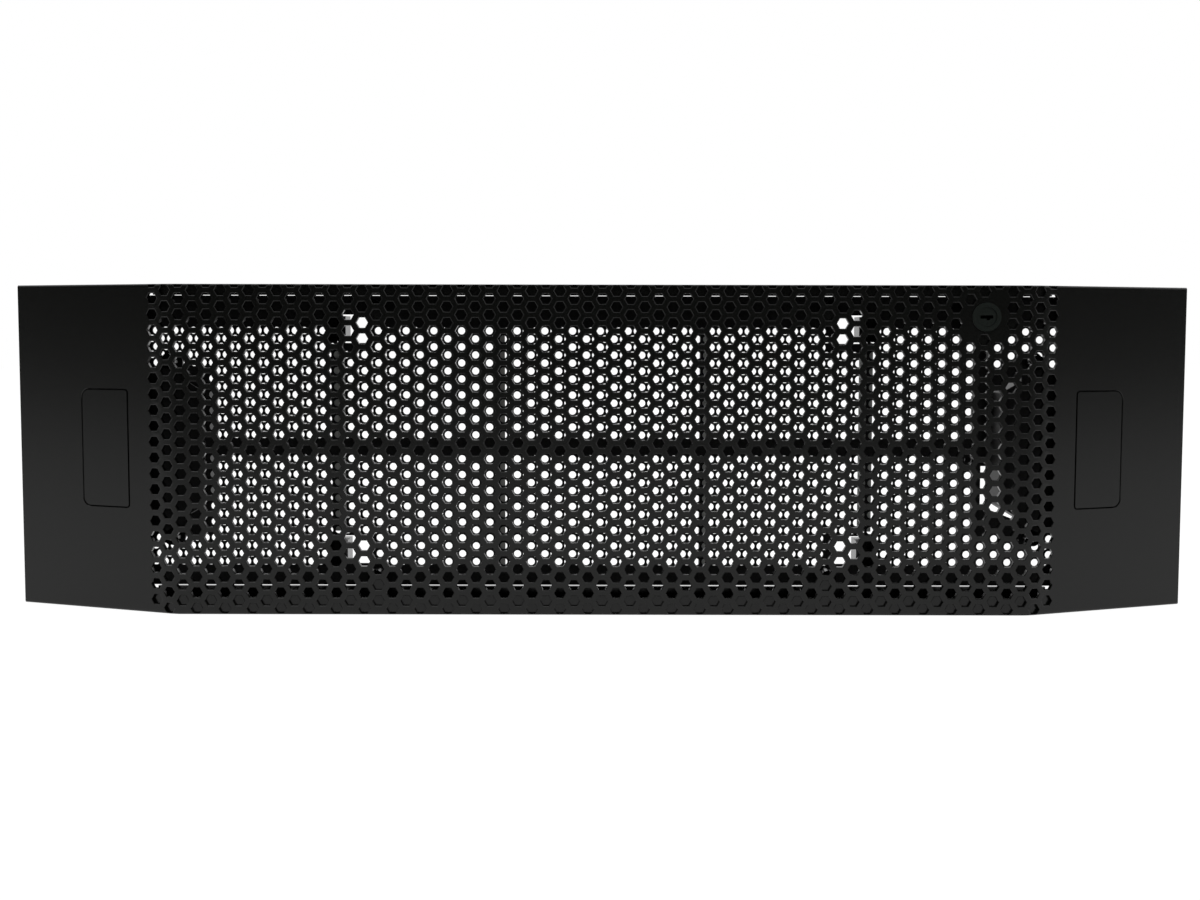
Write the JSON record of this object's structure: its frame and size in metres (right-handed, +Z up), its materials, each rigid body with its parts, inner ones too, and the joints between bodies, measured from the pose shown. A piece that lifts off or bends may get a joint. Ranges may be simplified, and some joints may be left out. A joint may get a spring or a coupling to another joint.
{
  "type": "server front bezel",
  "caption": "Black rack server front bezel: hexagon grille over a perforated rear screen, slanted wings with squeeze release buttons, rear latch hooks and a key lock.",
  "frame": {"origin": "on the base plane, at the middle of the footprint", "axes": "+X to the right as seen from the front, front face towards -Y, +Z up"},
  "size_m": [0.4826, 0.0446, 0.132],
  "materials": {
    "shell_plastic": "satin",
    "button_plastic": "satin",
    "screen_paint": "matte",
    "zinc_steel": "satin",
    "screw_steel": "satin",
    "spring_steel": "polished",
    "latch_plastic": "satin",
    "housing_plastic": "matte",
    "lock_metal": "satin",
    "bar_steel": "matte"
  },
  "bodies": {
    "base": {"front_shell": "shell_plastic", "rear_screen": "screen_paint", "left_outer_stiffener": "zinc_steel", "right_outer_stiffener": "zinc_steel", "left_inner_stiffener": "zinc_steel", "right_inner_stiffener": "zinc_steel", "stiffener_rivets": "zinc_steel", "screen_screws": "screw_steel", "left_latch_spring": "spring_steel", "right_latch_spring": "spring_steel", "left_latch_housing": "housing_plastic", "right_latch_housing": "housing_plastic", "left_latch_cover": "housing_plastic", "right_latch_cover": "housing_plastic", "left_latch_keeper": "housing_plastic", "right_latch_keeper": "housing_plastic", "left_latch_screws": "screw_steel", "right_latch_screws": "screw_steel", "lock_cylinder": "lock_metal", "lock_nut": "zinc_steel"},
    "left_button": {"left_button": "button_plastic"},
    "right_button": {"right_button": "button_plastic"},
    "left_latch": {"left_latch": "latch_plastic"},
    "right_latch": {"right_latch": "latch_plastic"},
    "lock_plug": {"lock_plug": "lock_metal", "lock_cam": "zinc_steel", "cam_screw": "screw_steel"},
    "lock_bar": {"lock_bar": "bar_steel"}
  },
  "joints": [
    {"name": "left_button_press", "type": "slide", "parent": "base", "child": "left_button", "axis": [0.37, 0.929, 0], "range_m": [0, 0.003]},
    {"name": "right_button_press", "type": "slide", "parent": "base", "child": "right_button", "axis": [-0.37, 0.929, 0], "range_m": [0, 0.003]},
    {"name": "left_latch_slide", "type": "slide", "parent": "base", "child": "left_latch", "axis": [1, 0, 0], "range_m": [0, 0.003], "stiffness_N_per_m": 600, "springref_m": -0.004, "deforming": ["left_latch_spring"]},
    {"name": "right_latch_slide", "type": "slide", "parent": "base", "child": "right_latch", "axis": [-1, 0, 0], "range_m": [0, 0.003], "stiffness_N_per_m": 600, "springref_m": -0.004, "deforming": ["right_latch_spring"]},
    {"name": "lock_turn", "type": "hinge", "parent": "base", "child": "lock_plug", "pos_m": [0.152, -0.02175, 0.1195], "axis": [0, 1, 0], "range_deg": [0, 90]},
    {"name": "lock_bar_slide", "type": "slide", "parent": "base", "child": "lock_bar", "axis": [0, 0, -1], "range_m": [0, 0.00707]}
  ],
  "couplings": [
    {"joint": "left_latch_slide", "follows": "left_button_press", "ratio": 1},
    {"joint": "right_latch_slide", "follows": "right_button_press", "ratio": 1},
    {"joint": "lock_turn", "follows": "lock_bar_slide", "rad_per_m": 222.14}
  ]
}
